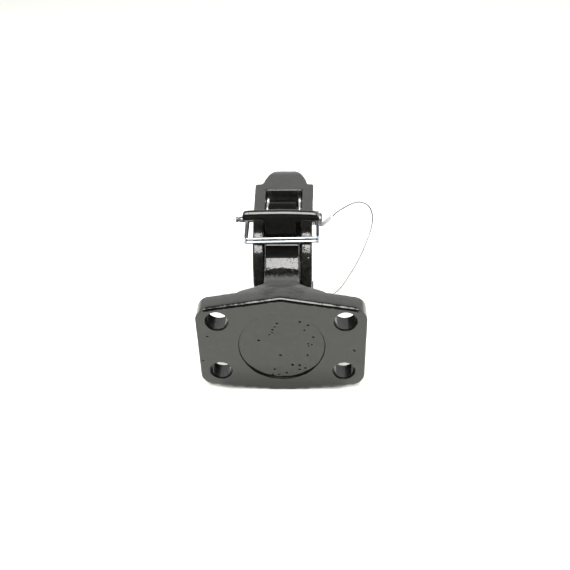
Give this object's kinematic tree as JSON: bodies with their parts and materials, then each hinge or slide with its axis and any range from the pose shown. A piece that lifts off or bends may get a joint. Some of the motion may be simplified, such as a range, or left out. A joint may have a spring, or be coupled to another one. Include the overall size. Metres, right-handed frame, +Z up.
{
  "type": "pintle hook",
  "caption": "Rigid towing pintle hook: a cast bolt plate, neck and horn, a hinged upper jaw with a T-shaped lock lever, and a lock pin with a wire bail on a wire lanyard.",
  "frame": {"origin": "centre of the bolt pattern on the rear mounting face", "axes": "+Y from the mounting face along the hook to the nose, +Z up, +X to the right seen from behind"},
  "size_m": [0.1214, 0.1532, 0.1149],
  "materials": {
    "black_paint": "gloss black paint over a pitted casting",
    "black_pin": "gloss black paint over steel",
    "zinc": "bright zinc plate",
    "wire_rope": "fine stranded wire rope",
    "crimp": "dull crimped sleeve"
  },
  "bodies": {
    "hook": {"hook_body": "black_paint"},
    "jaw": {"upper_jaw": "black_paint", "jaw_pivot_pin": "black_pin", "lever_pivot_pin": "black_pin", "lever_spring": "zinc", "lanyard_ferrule_lower": "crimp", "lanyard_screw": "zinc", "lanyard_washer": "zinc"},
    "lever": {"lock_lever": "black_paint"},
    "pin": {"lock_pin": "zinc", "lanyard_cable": "wire_rope", "lanyard_ferrule_upper": "crimp"},
    "bail": {"pin_bail": "zinc"}
  },
  "joints": [
    {"name": "jaw_hinge", "type": "hinge", "parent": "hook", "child": "jaw", "pos_m": [0, 0.058, 0.004], "axis": [1, 0, 0], "range_deg": [0, 34]},
    {"name": "lever_hinge", "type": "hinge", "parent": "jaw", "child": "lever", "pos_m": [0, 0.088, 0.053], "axis": [-1, 0, 0], "range_deg": [-5, 5], "stiffness_Nm_per_rad": 1.2, "springref_deg": -5, "deforming": ["lever_spring"]},
    {"name": "pin_slide", "type": "slide", "parent": "jaw", "child": "pin", "axis": [1, 0, 0], "range_m": [0, 0.053], "deforming": ["lanyard_cable", "pin_bail"]},
    {"name": "bail_hinge", "type": "hinge", "parent": "pin", "child": "bail", "pos_m": [0.0246, 0.075, 0.055], "axis": [0, 0, 1], "range_deg": [0, 110], "deforming": ["pin_bail"]}
  ]
}
